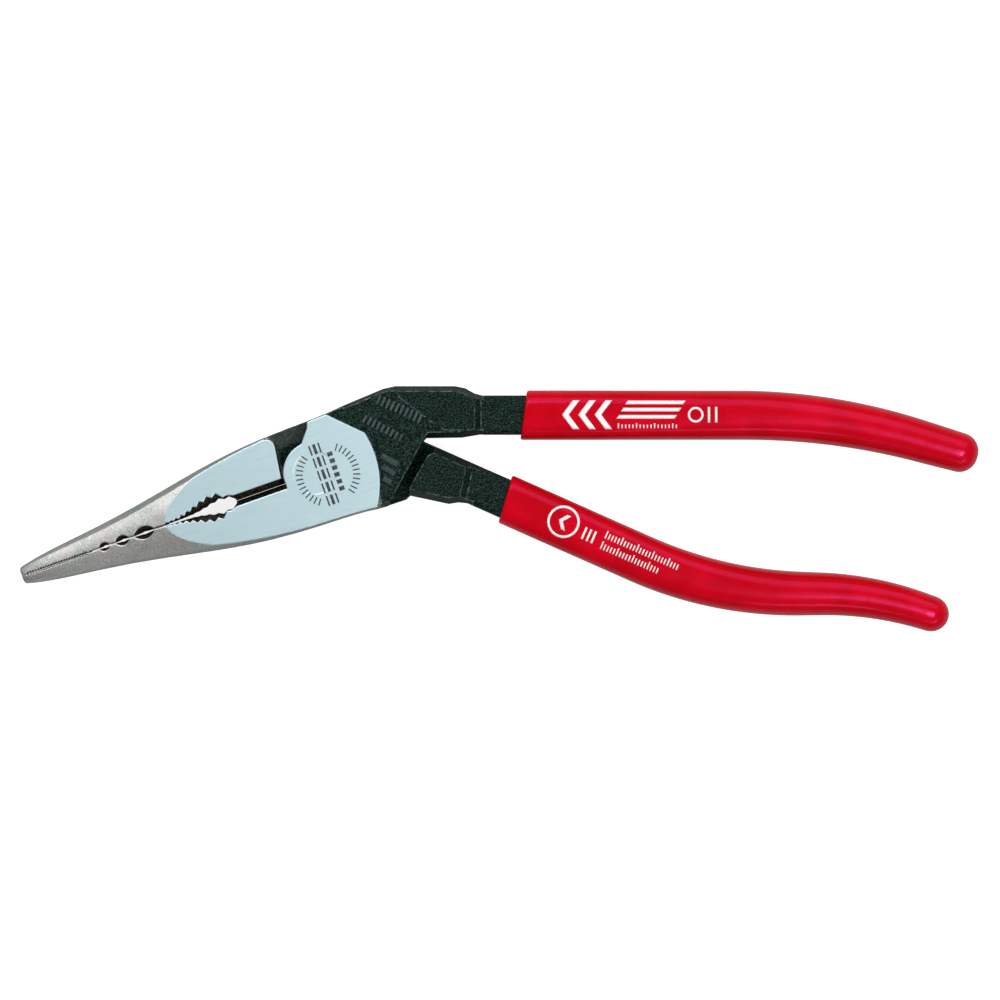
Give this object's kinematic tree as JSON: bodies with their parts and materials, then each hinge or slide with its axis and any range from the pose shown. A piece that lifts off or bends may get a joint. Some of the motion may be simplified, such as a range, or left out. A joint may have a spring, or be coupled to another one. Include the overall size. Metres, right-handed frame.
{
  "type": "long-nose pliers",
  "caption": "Long-nose pliers with bent handles, serrated tip, gripping hollows, toothed pipe grip, side cutter, flush riveted lap joint and dipped grips.",
  "frame": {"origin": "on the rivet's axis, at the underside that the closed tool lies on", "axes": "+X along the front lever's straight shank, away from the jaws; +Y in the plane of the tool, towards the upper handle; +Z along the rivet, towards the face with the front lever's lap"},
  "size_m": [0.1599, 0.0411, 0.0096],
  "materials": {
    "forged_steel": "nickel-satin nose, brushed ground faces and black oxide on the forged necks and tangs",
    "rivet_steel": "ground flush with the joint's faces",
    "dipped_pvc": "smooth glossy red dip with small white printed marks"
  },
  "bodies": {
    "front_body": {"front_lever": "forged_steel", "rivet": "rivet_steel", "upper_grip": "dipped_pvc"},
    "rear_body": {"rear_lever": "forged_steel", "lower_grip": "dipped_pvc"}
  },
  "joints": [
    {"name": "pivot", "type": "hinge", "parent": "front_body", "child": "rear_body", "pos_m": [0, 0, 0], "axis": [0, 0, -1], "range_deg": [0, 45]}
  ]
}
